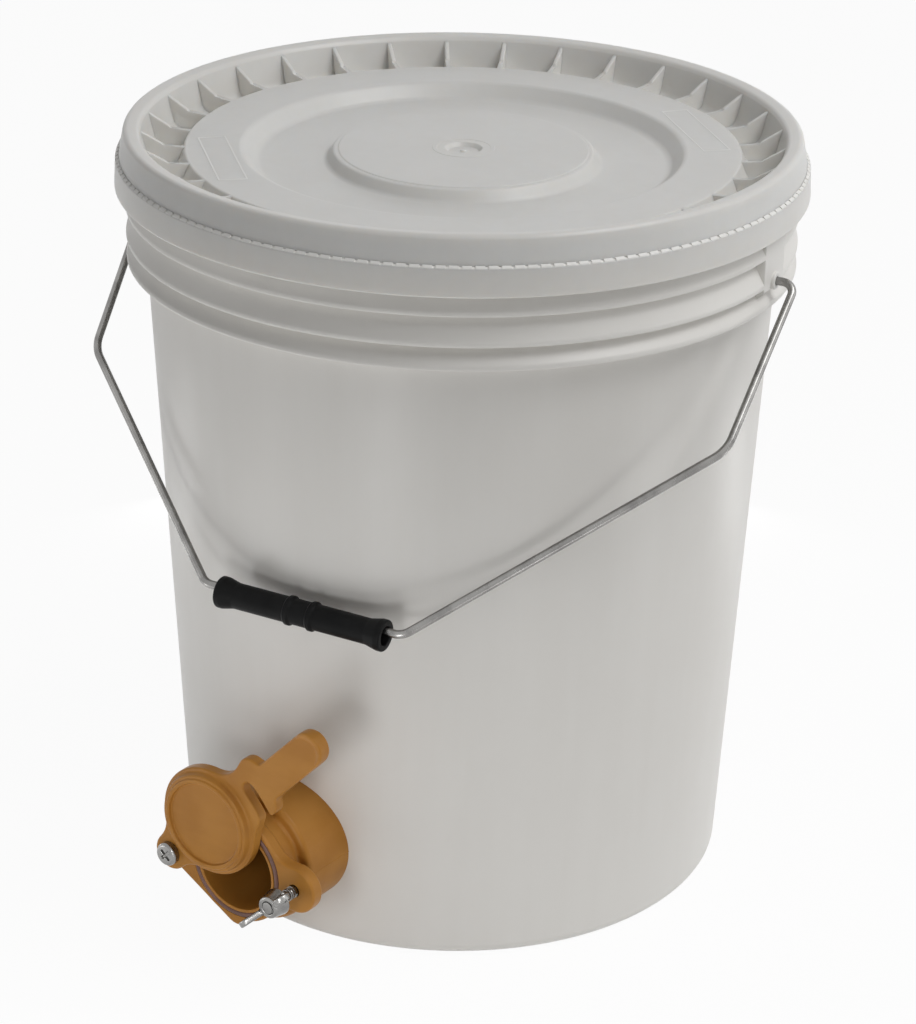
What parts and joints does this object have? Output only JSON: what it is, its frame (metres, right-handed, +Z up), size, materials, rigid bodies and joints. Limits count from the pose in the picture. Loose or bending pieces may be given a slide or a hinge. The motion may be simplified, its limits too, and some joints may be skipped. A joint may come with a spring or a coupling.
{
  "type": "honey bucket with gate",
  "caption": "Tapered pail with a press-on tamper band lid, a swinging wire bail with grip and a swing-shutter honey gate low on the wall.",
  "frame": {"origin": "on the ground at the middle of the foot ring, where the pail's axis meets what it stands on", "axes": "+Z up along the pail's axis; the gate looks along -Y; +X to the right seen from the gate's side"},
  "size_m": [0.3471, 0.3705, 0.3775],
  "materials": {
    "pail_white": "satin moulded polyethylene",
    "lid_white": "satin moulded polyethylene",
    "bright_steel": "bright zinc and nickel plate",
    "grip_black": "soft satin moulding",
    "gate_ochre": "semi gloss moulded nylon",
    "seal_rubber": "matt rubber",
    "ring_seal": "matt silicone"
  },
  "bodies": {
    "pail": {"pail_body": "pail_white", "tear_band": "lid_white", "gate_body": "gate_ochre", "barrel_gasket": "seal_rubber", "ring_nut": "gate_ochre", "shutter_seal": "ring_seal", "pivot_screw": "bright_steel", "pivot_nut": "bright_steel", "clamp_bolt": "bright_steel"},
    "lid": {"lid": "lid_white"},
    "bail": {"bail_wire": "bright_steel"},
    "grip": {"bail_grip": "grip_black"},
    "shutter": {"gate_shutter": "gate_ochre"},
    "wing_nut": {"wing_nut": "bright_steel"}
  },
  "joints": [
    {"name": "lid_lift", "type": "slide", "parent": "pail", "child": "lid", "axis": [0, 0, 1], "range_m": [0, 0.15]},
    {"name": "bail_swing", "type": "hinge", "parent": "pail", "child": "bail", "pos_m": [0, 0, 0.3264], "axis": [-0.9871, -0.1599, 0], "range_deg": [0, 264]},
    {"name": "grip_spin", "type": "hinge", "parent": "bail", "child": "grip", "pos_m": [0.02159, -0.15365, 0.18441], "axis": [0.9906, 0.1352, -0.0224], "continuous": true},
    {"name": "shutter_swing", "type": "hinge", "parent": "pail", "child": "shutter", "pos_m": [-0.0345, -0.17839, 0.0535], "axis": [0, -1, 0], "range_deg": [-46, 70]},
    {"name": "wing_nut_spin", "type": "hinge", "parent": "pail", "child": "wing_nut", "pos_m": [0.035, -0.19, 0.0535], "axis": [0, -1, 0], "continuous": true}
  ]
}
